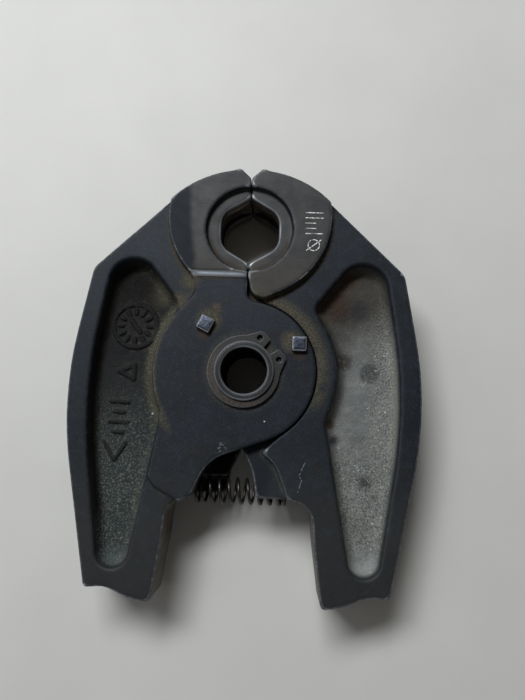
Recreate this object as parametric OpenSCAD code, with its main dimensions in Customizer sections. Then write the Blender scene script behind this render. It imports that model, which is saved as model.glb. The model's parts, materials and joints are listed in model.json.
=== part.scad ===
// Pipe press jaw: two forged jaw levers that interleave on one hollow pivot.
// The right-hand lever is drawn, and the left-hand lever is the same forging turned over
// about the Y axis. Origin: on the pivot axis, halfway through the thickness.
// +X: towards the right-hand lever. +Y: towards the press mouth. +Z: pivot axis, front side.

/* [Arms] */
// Thickness of the arms and legs
arm_t = 17; // [16:0.5:18]
// Depth of the pocket in each side of an arm
pocket_depth = 5.5; // [2:0.5:6]

/* [Hub] */
// Radius of the round hub plates
hub_r = 21.8; // [21:0.1:22]
// Gap between a hub plate and the pocket wall round it
hub_room = 0.3; // [0.3:0.1:0.7]
// Distance between the two outer hub faces
hub_t = 19; // [18.4:0.2:20]
// Thickness of each inner hub plate
plate_t = 6; // [5.6:0.2:6]
// Side clearance between two neighbouring hub plates
side_gap = 0.05; // [0.02:0.01:0.1]

/* [Press mouth] */
// Distance between the two die faces
die_t = 22; // [21:0.5:23]
// Height of the mouth centre above the pivot
mouth_y = 44.6; // [44:0.2:46]
// Width across the flats of the pressing hexagon
mouth_af = 18.2; // [17.6:0.1:19]
// Radius that rounds the side corners of the hexagon
mouth_corner_r = 5.5; // [1:0.5:6]
// Radius of the round recess round the mouth
recess_r = 13.6; // [13:0.1:14.5]
// Depth of that recess
recess_depth = 2; // [1:0.5:3]
// Radius of the round bead groove in the middle of the mouth
bead_r = 11; // [10.8:0.1:12]
// Length of the bead groove along the pivot axis
bead_len = 7; // [5:0.5:8]
// Depth of the narrow groove near each end of the mouth
end_groove_depth = 0.5; // [0.2:0.1:0.8]
// Width of that groove
end_groove_w = 0.7; // [0.4:0.1:1]
// Distance of that groove from the die face
end_groove_in = 4.6; // [4:0.2:5]
// Gap between the two closed levers
parting_gap = 0.1; // [0.05:0.05:0.3]

/* [Pivot tube] */
// Outer diameter of the hollow pivot
tube_d = 18; // [16:0.5:19]
// Diameter of the through bore
tube_bore = 14; // [12:0.5:15]
// Length of the hollow pivot
tube_len = 24; // [23.2:0.2:25]
// Radial running clearance between tube and levers
running_gap = 0.04; // [0.01:0.01:0.1]
// Chamfer at the tube ends
tube_chamfer = 0.5; // [0.2:0.1:0.8]

/* [Retaining rings] */
// Thickness of a retaining ring
ring_t = 1.2; // [1:0.1:1.3]
// Outer radius of the ring body
ring_r = 10.9; // [10.5:0.1:11.2]
// Direction of the ring opening
ring_turn = 42.5; // [0:0.5:90]
// Diameter of the plier holes
lug_hole_d = 1.9; // [1.5:0.1:2.2]
// Distance of the plier holes from the pivot axis
lug_hole_r = 11; // [10.8:0.1:11.2]
// Angle between the ring opening and a plier hole
lug_hole_turn = 23.5; // [22:0.5:26]

/* [Pegs] */
// Side of the square pegs
peg_size = 4.6; // [3.6:0.1:4.6]
// Height of the pegs above the hub face
peg_proud = 1.9; // [1:0.1:2.2]

/* [Return spring] */
// Outer diameter of the coil
spring_od = 8.3; // [7:0.1:8.6]
// Wire diameter
wire_d = 1; // [0.8:0.1:1.2]
// Length of the spring with the jaw closed
spring_len = 28.4; // [27.6:0.2:28.4]
// Turns between the two closed end turns
active_turns = 8.75; // [7:0.25:9]
// Distance of the spring axis below the pivot
spring_drop = 36.2; // [36:0.1:36.6]

/* [Hidden] */
$fn = 96;

half_arm = arm_t / 2;
half_hub = hub_t / 2;
half_die = die_t / 2;
half_tube = tube_len / 2;
half_gap = parting_gap / 2;
floor_z = half_arm - pocket_depth;
room_r = hub_r + hub_room;
bore_r = tube_d / 2 + running_gap;
groove_r = tube_d / 2 - 0.5;
ring_play = 0.05;
groove_w = ring_t + 2 * ring_play;
ring_z = half_hub + ring_play;
seat_r = spring_od / 2 + 0.45;
seat_x = spring_len / 2 + 0.1;
far = 200;

steel = [0.18, 0.20, 0.22];
ground_steel = [0.36, 0.36, 0.36];
spring_steel = [0.30, 0.29, 0.28];
peg_steel = [0.55, 0.56, 0.58];

// Places of the two square pegs: x, y and turn, seen from the hub face that carries them
peg_left = [-12.3, 14.0, -26];
peg_right = [16.4, 8.7, 0];

// ---------- outline functions ----------

// Points on an arc about centre c, from angle a to angle b
function arc(c, r, a, b, n = 12) =
    [for (i = [0:n]) let (t = a + (b - a) * i / n) [c[0] + r * cos(t), c[1] + r * sin(t)]];

function unit(v) = v / norm(v);
function signed_turn(a) = a > 180 ? a - 360 : (a < -180 ? a + 360 : a);

// Points that round the corner q of the path p, q, s with radius q[2]
function corner(p, q, s) =
    q[2] == 0 ? [[q[0], q[1]]] :
    let (o = [q[0], q[1]],
         u = unit([p[0], p[1]] - o),
         v = unit([s[0], s[1]] - o),
         half = acos(u * v) / 2,
         c = o + unit(u + v) * q[2] / sin(half),
         a = o + u * q[2] / tan(half) - c,
         b = o + v * q[2] / tan(half) - c,
         t0 = atan2(a[1], a[0]),
         turn = signed_turn(atan2(b[1], b[0]) - t0),
         n = max(3, ceil(abs(turn) / 8), ceil(abs(turn) * q[2] / 230)))
    arc(c, q[2], t0, t0 + turn, n);

// Closed outline through corners [x, y, radius]
function rounded(pts) =
    [for (i = [0:len(pts) - 1])
        each corner(pts[(i + len(pts) - 1) % len(pts)], pts[i], pts[(i + 1) % len(pts)])];

// Plain points turned into sharp corners, so that arcs can join a rounded outline
function sharp(pts) = [for (p = pts) [p[0], p[1], 0]];

// ---------- lever outlines, seen from the front ----------

// Corner where the parting line runs down to the hub: a round nose on the die
nose_c = [4.9, 26.8];
nose_r = 4.25;

// Arm and leg, outside the round room for the other lever's hub plates
function arm_path() = concat(
    [[half_gap, 60, 0], [half_gap, 29.5, 0]],
    sharp(arc(nose_c, nose_r, 180, 270, 8)),
    sharp(arc([0, 0], room_r, 75, -50, 28)),
    [[10.7, -19.85, 0], [9.6, -24.5, 1], [14.1, -37.7, 0], [21.2, -37.7, 6.5], [22.2, -51, 60],
     [24.6, -67.8, 1.2], [31, -66.7, 10], [38, -63.7, 8], [44.2, -64.3, 1.2],
     [55.6, -9, 112], [48.7, 31.5, 5], [25.6, 54.1, 0], [20, 56, 0]]);

// Shoulder in front of the inner plate, cut back so that the other lever's cheek can swing past
function shoulder_path() =
    [[14.2, -37.7, 0], [10.2, -27.2, 8], [6, -24.3, 0.5], [8.3, -21.95, 0], [10.7, -19.85, 0],
     [14, -17.4, 0], [18, -37.7, 0]];

// Die block on the side with the round nose
function die_path() = concat(
    [[half_gap, 61.2, 0], [half_gap, 29.5, 0]],
    sharp(arc(nose_c, nose_r, 180, 285, 8)),
    sharp(arc([-1, 49], 26.7, -70, 10, 20)),
    sharp(arc([1.2, 30.6], 33.5, 44, 82, 12)),
    [[3.6, 64.6, 1]]);

// Pocket in the arm: two nearly straight sides, round ends, and a curve round the hub
function pocket_path() = concat(
    [[41, 46.6, 8], [49.05, -8.3, 140], [36.9, -83.9, 5], [24.7, -14.6, 1.5]],
    sharp(arc([0, 0], 28, -24, 33, 16)),
    [[20.7, 20.3, 3.5]]);

// Web between the die and a round hub plate, with a fillet into the plate
fillet_r = 3;
fillet_y = sqrt(pow(hub_r + fillet_r, 2) - pow(fillet_r - half_gap, 2));
function web_path() = concat(
    [[half_gap, 31, 0]],
    sharp(arc([half_gap - fillet_r, fillet_y], fillet_r, 0,
              atan2(-fillet_y, fillet_r - half_gap), 8)),
    [[0, 15, 0], [14, 12, 0], [14, 31, 0]]);

// Raised cheek on the outer side of the hub, down to the pointed heel above the leg
function cheek_path() = concat(
    [[-7.46, -20.49, 0], [9.6, -26.7, 12], [13.9, -36.4, 2], [17.4, -39.2, 0.8],
     [25.6, -35, 6], [27.5, -32, 1], [25.2, -17.5, 10]],
    sharp(arc([0, 0], 28, -26, 41, 18)),
    [[16.3, 24, 4], [16.5, 28, 3], [19, 31, 0], [half_gap, 31, 0], [half_gap, 0, 0]]);

// Root of the round inner plate, which joins it to the arm
function root_path() = concat([[0, 0, 0]], sharp(arc([0, 0], room_r + 0.5, -55, 70, 24)));

// Inner plate below the hub, which carries half of the spring channel
function heel_path() =
    [[-2, -18, 0], [0.5, -23.6, 1.5], [3.6, -30, 12], [4.7, -37.7, 0.4], [16, -37.7, 0],
     [16, -18, 0]];

// Half of the pressing hexagon, points up and down, with round side corners
mouth_point = mouth_af / sqrt(3) + 0.2;
function mouth_path(grow = 0) =
    let (side = mouth_af / 2 + grow, point = mouth_point + grow, past = 1)
    [[-past, mouth_y + point + past / 2, 0], [0, mouth_y + point, 0],
     [side, mouth_y + mouth_point / 2, mouth_corner_r],
     [side, mouth_y - mouth_point / 2, mouth_corner_r],
     [0, mouth_y - point, 0], [-past, mouth_y - point - past / 2, 0]];

// ---------- solids ----------

// Outline extruded between two heights
module slab(path, z0, z1) {
    translate([0, 0, z0])
        linear_extrude(z1 - z0)
            polygon(rounded(path));
}

// Round plate about the pivot axis
module disc(r, z0, z1) {
    translate([0, 0, z0])
        cylinder(r = r, h = z1 - z0);
}

// Right-hand lever before its pockets, bores and channel are cut
module lever_blank() {
    step_y = 30.7;
    step_run = 1.5;
    die_w = 40;
    slab(arm_path(), -half_arm, half_arm);
    slab(shoulder_path(), side_gap, half_arm);
    // inner plate
    disc(hub_r, side_gap, plate_t - side_gap);
    slab(root_path(), side_gap, plate_t - side_gap);
    slab(web_path(), side_gap, plate_t - side_gap);
    slab(heel_path(), side_gap, plate_t - side_gap);
    // outer cheek, on the rear side
    disc(hub_r, -half_hub, -plate_t);
    slab(web_path(), -half_hub, -plate_t);
    slab(cheek_path(), -half_hub, -plate_t);
    // die: full thickness above the cheek, nose on the front side only
    difference() {
        slab(die_path(), -half_die, half_die);
        translate([-die_w / 2, 0, -far])
            cube([2 * die_w, step_y - step_run, far - plate_t]);
        translate([-die_w / 2, 0, 0])
            rotate([90, 0, 90])
                linear_extrude(2 * die_w)
                    polygon([[step_y, -half_die], [step_y - step_run, -half_hub],
                             [step_y - 2 * step_run, -half_hub], [step_y - 2 * step_run, -far],
                             [step_y, -far]]);
    }
}

// Everything that is cut from a lever
module lever_cuts() {
    for (side = [0, 1])
        mirror([0, 0, side]) {
            difference() {
                slab(pocket_path(), floor_z, far);
                if (side == 1)
                    slab(cheek_path(), 0, far);
            }
            translate([0, mouth_y, half_die - recess_depth])
                cylinder(r = recess_r, h = far);
            slab(mouth_path(end_groove_depth), half_die - end_groove_in - end_groove_w,
                 half_die - end_groove_in);
        }
    slab(mouth_path(), -far, far);
    translate([0, mouth_y, -bead_len / 2])
        cylinder(r = bead_r, h = bead_len);
    translate([0, 0, -far])
        cylinder(r = bore_r, h = 2 * far);
    // channel and seat of the return spring
    translate([-far, -spring_drop, 0])
        rotate([0, 90, 0])
            cylinder(r = seat_r, h = far + seat_x);
}

module lever() {
    difference() {
        lever_blank();
        lever_cuts();
        rotate([0, 180, 0]) {
            peg(peg_left);
            peg(peg_right);
        }
    }
}

// Square peg standing in the front cheek
module peg(place) {
    half = peg_size / 2;
    translate([place[0], place[1], 0])
        rotate(place[2])
            slab([[-half, -half, 0.5], [half, -half, 0.5], [half, half, 0.5], [-half, half, 0.5]],
                 plate_t, half_hub + peg_proud);
}

module right_jaw() {
    color(steel) lever();
}

module left_jaw() {
    color(steel)
        rotate([0, 180, 0])
            lever();
}

// Hollow pivot with a groove for a retaining ring near each end
module pivot_tube() {
    r_out = tube_d / 2;
    r_in = tube_bore / 2;
    c = tube_chamfer;
    color(ground_steel)
        rotate_extrude()
            difference() {
                polygon([[r_in, -half_tube + c], [r_in + c, -half_tube], [r_out - c, -half_tube],
                         [r_out, -half_tube + c], [r_out, half_tube - c], [r_out - c, half_tube],
                         [r_in + c, half_tube], [r_in, half_tube - c]]);
                for (side = [-1, 1])
                    translate([groove_r, side * (half_hub + groove_w / 2) - groove_w / 2])
                        square([r_out - groove_r + c, groove_w]);
            }
}

// Point at an angle and a distance from the axis
function polar(angle, r) = [r * cos(angle), r * sin(angle), 0];

// Outline of one lug, from the ring opening outwards; side is 1 or -1
function lug_path(side) =
    [polar(side * 9, 12.3) + [0, 0, 0.6], polar(side * 24, 13.4) + [0, 0, 1.6],
     polar(side * 46, 10.75) + [0, 0, 1]];
function reversed(list) = [for (i = [len(list) - 1:-1:0]) list[i]];

// External retaining ring: an off-centre outer arc, two lugs with plier holes, a round inside
module retaining_ring() {
    off_centre = (ring_r - groove_r) / 12;
    path = concat(
        lug_path(1),
        sharp(arc([-off_centre, 0], ring_r, 50, 310, 52)),
        reversed(lug_path(-1)),
        sharp(arc([0, 0], groove_r + 0.03, 351, 9, 60)));
    rotate(ring_turn)
        difference() {
            slab(path, 0, ring_t);
            for (side = [-1, 1])
                rotate(side * lug_hole_turn)
                    translate([lug_hole_r, 0, -ring_t])
                        cylinder(d = lug_hole_d, h = 3 * ring_t);
        }
}

module front_retaining_ring() {
    color(ground_steel)
        translate([0, 0, ring_z])
            retaining_ring();
}

module rear_retaining_ring() {
    color(ground_steel)
        rotate([0, 180, 0])
            translate([0, 0, ring_z])
                retaining_ring();
}

// Position along the spring after some turns: closed, open, closed
end_pitch = wire_d * 1.06;
open_pitch = (spring_len - wire_d - 2 * end_pitch) / active_turns;
total_turns = active_turns + 2;
function coil_x(n) =
    wire_d / 2 - spring_len / 2
    + end_pitch * min(n, 1)
    + open_pitch * max(0, min(n - 1, active_turns))
    + end_pitch * max(0, n - 1 - active_turns);

module return_spring() {
    sides = 8;
    steps_per_turn = 24;
    steps = total_turns * steps_per_turn;
    coil_r = (spring_od - wire_d) / 2;
    pts = [for (i = [0:steps], j = [0:sides - 1])
        let (n = i / steps_per_turn, a = 360 * n, b = 360 * j / sides,
             r = coil_r + wire_d / 2 * cos(b))
        [coil_x(n) + wire_d / 2 * sin(b), r * cos(a) - spring_drop, r * sin(a)]];
    walls = [for (i = [0:steps - 1], j = [0:sides - 1])
        let (k = (j + 1) % sides)
        [i * sides + j, (i + 1) * sides + j, (i + 1) * sides + k, i * sides + k]];
    start = [for (j = [0:sides - 1]) j];
    end = [for (j = [0:sides - 1]) steps * sides + sides - 1 - j];
    color(spring_steel)
        polyhedron(points = pts, faces = concat([start], walls, [end]), convexity = 10);
}

module front_peg_left() {
    color(peg_steel) peg(peg_left);
}

module front_peg_right() {
    color(peg_steel) peg(peg_right);
}

module rear_peg_left() {
    color(peg_steel) rotate([0, 180, 0]) peg(peg_right);
}

module rear_peg_right() {
    color(peg_steel) rotate([0, 180, 0]) peg(peg_left);
}

left_jaw();
right_jaw();
pivot_tube();
front_retaining_ring();
rear_retaining_ring();
return_spring();
front_peg_left();
front_peg_right();
rear_peg_left();
rear_peg_right();
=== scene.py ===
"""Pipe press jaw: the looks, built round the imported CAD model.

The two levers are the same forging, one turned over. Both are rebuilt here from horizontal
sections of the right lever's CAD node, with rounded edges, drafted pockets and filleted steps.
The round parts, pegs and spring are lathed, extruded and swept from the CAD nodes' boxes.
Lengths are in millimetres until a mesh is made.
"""
import bpy
import json
import math
import numpy as np
from mathutils import Matrix, Vector


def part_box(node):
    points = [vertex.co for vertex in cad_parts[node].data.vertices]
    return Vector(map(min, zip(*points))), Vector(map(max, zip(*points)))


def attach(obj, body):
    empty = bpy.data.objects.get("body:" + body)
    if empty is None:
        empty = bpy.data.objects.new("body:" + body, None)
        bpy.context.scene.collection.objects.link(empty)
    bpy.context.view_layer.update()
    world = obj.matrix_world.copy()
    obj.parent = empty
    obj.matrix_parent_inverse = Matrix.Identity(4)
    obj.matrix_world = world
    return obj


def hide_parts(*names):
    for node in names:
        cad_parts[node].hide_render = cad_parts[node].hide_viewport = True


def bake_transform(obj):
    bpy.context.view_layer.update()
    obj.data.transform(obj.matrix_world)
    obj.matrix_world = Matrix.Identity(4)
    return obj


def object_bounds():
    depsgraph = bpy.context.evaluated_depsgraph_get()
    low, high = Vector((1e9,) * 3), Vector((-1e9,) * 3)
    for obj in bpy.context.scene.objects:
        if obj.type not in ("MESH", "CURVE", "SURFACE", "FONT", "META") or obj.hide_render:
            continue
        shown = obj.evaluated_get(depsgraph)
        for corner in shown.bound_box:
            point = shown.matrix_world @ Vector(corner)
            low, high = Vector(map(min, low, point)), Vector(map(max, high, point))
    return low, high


MM = 0.001
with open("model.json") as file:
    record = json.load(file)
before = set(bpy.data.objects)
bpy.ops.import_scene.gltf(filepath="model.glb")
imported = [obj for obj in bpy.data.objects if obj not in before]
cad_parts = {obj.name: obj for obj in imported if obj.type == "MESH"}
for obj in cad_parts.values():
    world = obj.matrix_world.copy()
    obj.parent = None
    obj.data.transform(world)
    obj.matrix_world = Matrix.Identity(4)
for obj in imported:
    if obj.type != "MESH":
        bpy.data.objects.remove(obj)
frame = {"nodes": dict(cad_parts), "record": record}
cad_low, cad_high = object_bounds()


# ---------- reading the CAD nodes ----------

def cad_triangles(name):
    """The triangles of a CAD node as an array (n, 3, 3), in millimetres."""
    mesh = frame["nodes"][name].data
    mesh.calc_loop_triangles()
    co = np.zeros(len(mesh.vertices) * 3)
    mesh.vertices.foreach_get("co", co)
    corner = np.zeros(len(mesh.loop_triangles) * 3, int)
    mesh.loop_triangles.foreach_get("vertices", corner)
    return (co.reshape(-1, 3) / MM)[corner].reshape(-1, 3, 3)


def cad_box(name):
    """Lowest and highest corner of a CAD node, in millimetres."""
    low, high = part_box(name)
    return np.array(low) / MM, np.array(high) / MM


def flat_levels(tri):
    """Heights of the horizontal faces."""
    spread = np.ptp(tri[:, :, 2], axis=1)
    edge_a, edge_b = tri[:, 1] - tri[:, 0], tri[:, 2] - tri[:, 0]
    area = np.linalg.norm(np.cross(edge_a, edge_b), axis=1) / 2
    flat = (spread < 1e-4) & (area > 1e-3)
    return sorted(set(np.round(tri[flat][:, 0, 2], 3)))


def section(tri, z):
    """Segments (n, 2, 2) in which the plane at height z cuts the triangles."""
    s = tri[:, :, 2] - z
    hit = (s.min(1) < 0) & (s.max(1) > 0)
    t, s = tri[hit], s[hit]
    ends = np.zeros((len(t), 2, 2))
    found = np.zeros(len(t), int)
    for i, j in ((0, 1), (1, 2), (2, 0)):
        crossing = (s[:, i] < 0) != (s[:, j] < 0)
        k = np.nonzero(crossing)[0]
        share = s[k, i] / (s[k, i] - s[k, j])
        ends[k, found[k]] = t[k, i, :2] + (t[k, j, :2] - t[k, i, :2]) * share[:, None]
        found[k] += 1
    return ends


def loops(segments):
    """The closed outlines that the segments form, each an ordered array of points."""
    keys = [tuple(map(tuple, pair)) for pair in np.round(segments, 2)]
    at = {}
    for n, (a, b) in enumerate(keys):
        if a != b:
            at.setdefault(a, []).append(n)
            at.setdefault(b, []).append(n)
    left, out = {n for ends in at.values() for n in ends}, []
    while left:
        n = left.pop()
        here, outline = keys[n][1], [segments[n][0], segments[n][1]]
        while True:
            n = next((m for m in at[here] if m in left), None)
            if n is None:
                break
            left.discard(n)
            side = 1 if keys[n][0] == here else 0
            outline.append(segments[n][side])
            here = keys[n][side]
        out.append(np.array(outline[:-1]))
    return sorted(out, key=lambda outline: -np.ptp(outline, axis=0).prod())


# ---------- distance fields ----------

STEP = 0.4       # grid spacing in X and Y
RISE = 0.25      # grid spacing in Z
NEAR = 0.8       # how close to a flat face the net stays fine in Z
COARSE = 4       # elsewhere it has one layer in this many
MARGIN = 2       # room round the part
BAND = 3.0       # distances are true up to this much


class Grid:
    """A box of grid points round a part; fields are arrays (z, y, x), negative inside."""

    def __init__(self, low, high):
        self.x, self.y, self.z = (
            np.arange(math.floor((a - MARGIN) / s) * s, b + MARGIN + s, s, dtype=np.float32)
            for a, b, s in zip(low, high, (STEP, STEP, RISE)))

    def outline(self, *outlines):
        """Signed distance in X and Y to closed outlines, holes included."""
        segments = np.concatenate([np.stack([o, np.roll(o, -1, 0)], 1) for o in outlines])
        dist = np.full((len(self.y), len(self.x)), BAND, np.float32)
        flips = np.zeros((len(self.y), len(self.x) + 1), np.int32)
        for (x1, y1), (x2, y2) in segments:
            i0, i1 = np.searchsorted(self.x, (min(x1, x2) - BAND, max(x1, x2) + BAND))
            j0, j1 = np.searchsorted(self.y, (min(y1, y2) - BAND, max(y1, y2) + BAND))
            x, y = self.x[None, i0:i1] - x1, self.y[j0:j1, None] - y1
            dx, dy = x2 - x1, y2 - y1
            t = np.clip((x * dx + y * dy) / max(dx * dx + dy * dy, 1e-12), 0, 1)
            near = np.hypot(x - t * dx, y - t * dy)
            np.minimum(dist[j0:j1, i0:i1], near, out=dist[j0:j1, i0:i1])
            rows = np.arange(*np.searchsorted(self.y, (min(y1, y2), max(y1, y2))))
            if len(rows):
                cross = x1 + (self.y[rows] - y1) / dy * dx
                np.add.at(flips, (rows, np.searchsorted(self.x, cross)), 1)
        odd = np.cumsum(flips, axis=1)[:, :-1] % 2 == 1
        return np.where(odd, -dist, dist)

    def stack(self, layers):
        """Signed distance to slabs piled in Z, each given as (z0, z1, outline field)."""
        out = np.zeros((len(self.z), len(self.y), len(self.x)), np.float32)
        ends = [(-1e3, layers[0][0], None), (layers[-1][1], 1e3, None)]
        for n, z in enumerate(self.z):
            far, deep = BAND ** 2, BAND ** 2
            for z0, z1, field in layers + ends:
                gap = max(z0 - z, z - z1, 0) ** 2
                if gap < BAND ** 2:
                    if field is not None:
                        far = np.minimum(far, np.maximum(field, 0) ** 2 + gap)
                        deep = np.minimum(deep, np.minimum(field, 0) ** 2 + gap)
                    else:
                        deep = np.minimum(deep, gap)
            out[n] = np.sqrt(far) - np.sqrt(deep)
        return out


def blur(field, radius):
    """The field after a Gaussian blur, which rounds its edges and fills its corners."""
    for axis, step in ((0, RISE), (1, STEP), (2, STEP)):
        reach = int(2.5 * radius / step) + 1
        weight = np.exp(-0.5 * (np.arange(-reach, reach + 1) * step / radius) ** 2)
        pad = [(reach, reach) if a == axis else (0, 0) for a in range(3)]
        wide = np.pad(field, pad, mode="edge")
        total = np.zeros_like(field)
        for n, w in enumerate(weight / weight.sum()):
            total += np.float32(w) * np.take(wide, np.arange(field.shape[axis]) + n, axis)
        field = total
    return field


def lumps(grid, size, seed):
    """Smooth noise in the grid, about -1 to 1, with lumps size millimetres across."""
    lines = (grid.z, grid.y, grid.x)
    spots = [np.arange(line[0] - 2 * size, line[-1] + 3 * size, size) for line in lines]
    value = np.random.default_rng(seed).uniform(-1, 1, [len(s) for s in spots]).astype(np.float32)
    for axis, (line, spot) in enumerate(zip(lines, spots)):
        reach = np.exp(-2.2 * ((line[:, None] - spot) / size) ** 2).astype(np.float32)
        reach /= np.sqrt((reach ** 2).sum(1, keepdims=True))
        value = np.moveaxis(np.tensordot(reach, value, (1, axis)), 0, axis)
    return value


def strokes(grid, lines, circles=()):
    """Distance in X and Y to straight strokes (x1, y1, x2, y2) and circles (x, y, radius)."""
    x, y = grid.x[None, :], grid.y[:, None]
    dist = np.full((len(grid.y), len(grid.x)), BAND, np.float32)
    for x1, y1, x2, y2 in lines:
        dx, dy = x2 - x1, y2 - y1
        t = np.clip(((x - x1) * dx + (y - y1) * dy) / (dx * dx + dy * dy), 0, 1)
        dist = np.minimum(dist, np.hypot(x - x1 - t * dx, y - y1 - t * dy))
    for cx, cy, radius in circles:
        dist = np.minimum(dist, np.abs(np.hypot(x - cx, y - cy) - radius))
    return dist


def smooth_max(a, b, k):
    """The larger of two distances, with the crease between them rounded over k."""
    h = np.maximum(k - np.abs(a - b), 0) / k
    return np.maximum(a, b) + h * h * k / 4


def at_points(grid, field, p):
    """The field's value at points (n, 3), by linear interpolation."""
    base, share = [], []
    for axis, line in ((2, grid.z), (1, grid.y), (0, grid.x)):
        u = np.clip((p[:, axis] - line[0]) / (line[1] - line[0]), 0, len(line) - 1.001)
        base.append(u.astype(int))
        share.append(u - base[-1])
    total = 0
    for k in (0, 1):
        for j in (0, 1):
            for i in (0, 1):
                w = (np.where(k, share[0], 1 - share[0]) * np.where(j, share[1], 1 - share[1])
                     * np.where(i, share[2], 1 - share[2]))
                total = total + w * field[base[0] + k, base[1] + j, base[2] + i]
    return total


def skin(grid, field, levels):
    """Points and quads of the field's zero surface (surface nets). In Z the net is as fine
    as the grid within NEAR of the levels, and coarser on the plain walls between them."""
    near = np.abs(grid.z[:, None] - levels).min(1) < NEAR
    near |= np.arange(len(grid.z)) % COARSE == 0
    field, heights = field[near], grid.z[near]
    solid = field < 0
    count = np.zeros(tuple(n - 1 for n in field.shape), np.int8)
    corners = [(k, j, i) for k in (0, 1) for j in (0, 1) for i in (0, 1)]
    shifted = lambda a, c: a[tuple(slice(o, n - 1 + o) for o, n in zip(c, a.shape))]
    for c in corners:
        count += shifted(solid, c)
    cells = np.argwhere((count > 0) & (count < 8))
    number = np.full(count.shape, -1, np.int64)
    number[tuple(cells.T)] = np.arange(len(cells))
    total, hits = np.zeros((len(cells), 3)), np.zeros((len(cells), 1))
    for a in corners:
        for axis in range(3):
            if a[axis] == 1:
                continue
            ca = cells + a
            cb = ca.copy()
            cb[:, axis] += 1
            fa, fb = field[tuple(ca.T)], field[tuple(cb.T)]
            cross = (fa < 0) != (fb < 0)
            t = np.where(cross, fa / np.where(cross, fa - fb, 1), 0)
            spot = ca.astype(float)
            spot[:, axis] += t
            total += np.where(cross[:, None], spot, 0)
            hits += cross[:, None]
    spot = total / hits
    points = np.stack([np.interp(spot[:, 2 - n], np.arange(len(line)), line)
                       for n, line in enumerate((grid.x, grid.y, heights))], 1)
    quads = []
    for axis in range(3):
        one, two = [a for a in range(3) if a != axis]
        lo = [slice(1, n - 1) for n in field.shape]
        hi = list(lo)
        lo[axis], hi[axis] = slice(0, field.shape[axis] - 1), slice(1, field.shape[axis])
        a, b = solid[tuple(lo)], solid[tuple(hi)]
        edge = np.argwhere(a != b)
        start = edge + 1
        start[:, axis] -= 1
        ring = []
        for d1, d2 in ((0, 0), (1, 0), (1, 1), (0, 1)):
            c = start.copy()
            c[:, one] -= d1
            c[:, two] -= d2
            ring.append(number[tuple(c.T)])
        ring = np.stack(ring, 1)
        turned = a[a != b] == (axis != 1)
        ring[turned] = ring[turned][:, ::-1]
        quads.append(ring)
    return points, np.concatenate(quads)


def mesh_object(name, points, faces, normals=None):
    """A smooth-shaded mesh object from points in millimetres."""
    mesh = bpy.data.meshes.new(name)
    mesh.from_pydata(np.asarray(points) * MM, [], np.asarray(faces).tolist())
    mesh.shade_smooth()
    if normals is not None:
        mesh.normals_split_custom_set_from_vertices(normals)
    piece = bpy.data.objects.new(name, mesh)
    bpy.context.scene.collection.objects.link(piece)
    return piece


def placed(piece, body, node):
    """Rides the piece on its body, in place of its CAD node."""
    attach(piece, body)
    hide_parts(node)
    return piece


# ---------- the levers ----------

ARM_FACE = 8.5          # height of the arms' flat faces
POCKET_FLOOR = 3.0      # height of the pockets' floors
POCKET_DRAFT = math.tan(math.radians(14))
POCKET_FILLET = 3.4     # along the hub side of a pocket's floor
OUTER_FILLET = 2.0      # along its outer side
POCKET_RIM = 0.8        # rounding of the pockets' upper edges
EDGE_ROUND = 0.33       # blur that rounds every other edge
WEAR_AND_HIGHLIGHT_REACH = 0.9        # blur that finds the edges and corners for the mask of wear and painted highlight
ROOM_RADIUS = 24.5      # edges within this radius of the pivot stay crisp
ROOM_FADE = 1.5         # width over which they pass into rounded ones
THIN_SLAB = 0.02        # slabs of the CAD node thinner than this are skipped
FILLET_SPAN = (36, 43)  # X from where to where the hub side's fillet passes into the outer one
WALL_SHARE = 0.5        # how much of the floor's lumps the pocket walls have
MARK_HEIGHT = 0.7       # of the raised marks on a pocket floor
MARK_HALF = 0.42        # half the width of their strokes
MARK_EDGE = 0.3         # rounding of their tops
MARK_FOOT = 0.4         # fillet along their feet
DIAL = (35.4, 13.9, 6.9)  # casting dial: centre and radius, on the lever's rear side
# Lumps as (height, size, seed): the forged skin's broad waves, and the cast floors
SKIN_LUMPS = (0.03, 9, 1)
CAST_LUMPS = ((0.07, 1.1, 2), (0.10, 3.5, 3))
CHEEK_FACE = 9.5        # height of the hub cheek's face; the die's bevel stands on it
BEVEL_SLICES = 5        # sections through the bevel's height
DIE_SKIN = 10.5         # above this height the dies are ground flat, without waves


def casting_marks(grid):
    """Raised marks in the rear pocket: a casting dial with ticks and a hand, a triangle, bars."""
    x, y, r = DIAL
    spokes = [math.radians(30 * n) for n in range(12)]
    lines = [(x + a * math.cos(t), y + a * math.sin(t), x + b * math.cos(t), y + b * math.sin(t))
             for t in spokes for a, b in [(0.58 * r, 0.78 * r)]]
    lines += [(x - 1.6, y - 2.0, x + 1.6, y + 2.0)]
    triangle = [(34.8, -2.9), (34.8, 1.5), (39.6, -0.7)]
    lines += [a + b for a, b in zip(triangle, triangle[1:] + triangle[:1])]
    lines += [(36.0 + w, -10.2 - 3.1 * n, 41.6 - w, -10.2 - 3.1 * n)
              for n, w in enumerate((0, 1.3, 0, 1.3))]
    lines += [(36.0, -22.6, 39.3, -28.0), (39.3, -28.0, 42.8, -22.6)]
    return strokes(grid, lines, [DIAL]) - MARK_HALF


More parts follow.
